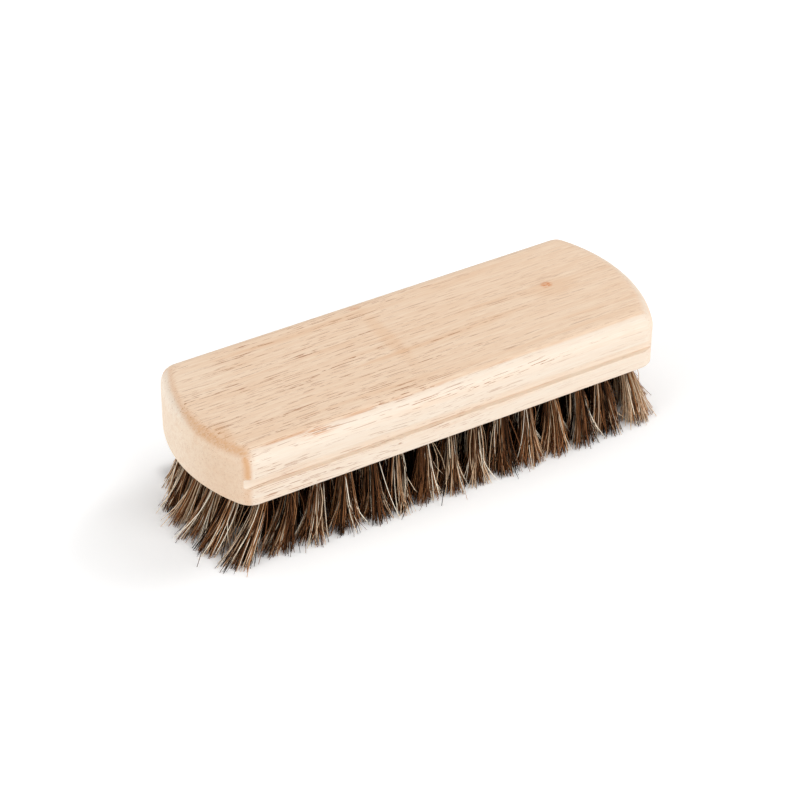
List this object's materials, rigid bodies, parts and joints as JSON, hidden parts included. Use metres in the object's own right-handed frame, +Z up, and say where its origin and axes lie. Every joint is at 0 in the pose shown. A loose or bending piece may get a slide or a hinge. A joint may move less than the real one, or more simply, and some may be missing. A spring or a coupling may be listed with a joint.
{
  "type": "horsehair bristle brush",
  "caption": "Hand brush with a one-piece wooden block, arc-shaped ends, a finger groove along each long side and a bed of short horsehair tufts set in its underside.",
  "frame": {"origin": "middle of the brush's footprint, on the surface that the bristle tips stand on", "axes": "+X along the length of the block, +Y across it, +Z up from the bristle tips to the block's back"},
  "size_m": [0.1692, 0.0612, 0.0405],
  "materials": {
    "wood": "satin",
    "horsehair": "matte",
    "anchor_steel": "satin"
  },
  "bodies": {
    "root": {"wood_block": "wood", "tuft_row_01": "horsehair", "tuft_row_02": "horsehair", "tuft_row_03": "horsehair", "tuft_row_04": "horsehair", "tuft_row_05": "horsehair", "tuft_row_06": "horsehair", "tuft_row_07": "horsehair", "tuft_row_08": "horsehair", "tuft_row_09": "horsehair", "tuft_row_10": "horsehair", "tuft_row_11": "horsehair", "tuft_row_12": "horsehair", "tuft_row_13": "horsehair", "tuft_row_14": "horsehair", "tuft_row_15": "horsehair", "anchor_wire_01": "anchor_steel", "anchor_wire_02": "anchor_steel", "anchor_wire_03": "anchor_steel", "anchor_wire_04": "anchor_steel", "anchor_wire_05": "anchor_steel", "anchor_wire_06": "anchor_steel", "anchor_wire_07": "anchor_steel", "anchor_wire_08": "anchor_steel", "anchor_wire_09": "anchor_steel", "anchor_wire_10": "anchor_steel", "anchor_wire_11": "anchor_steel", "anchor_wire_12": "anchor_steel", "anchor_wire_13": "anchor_steel", "anchor_wire_14": "anchor_steel", "anchor_wire_15": "anchor_steel"}
  },
  "joints": []
}
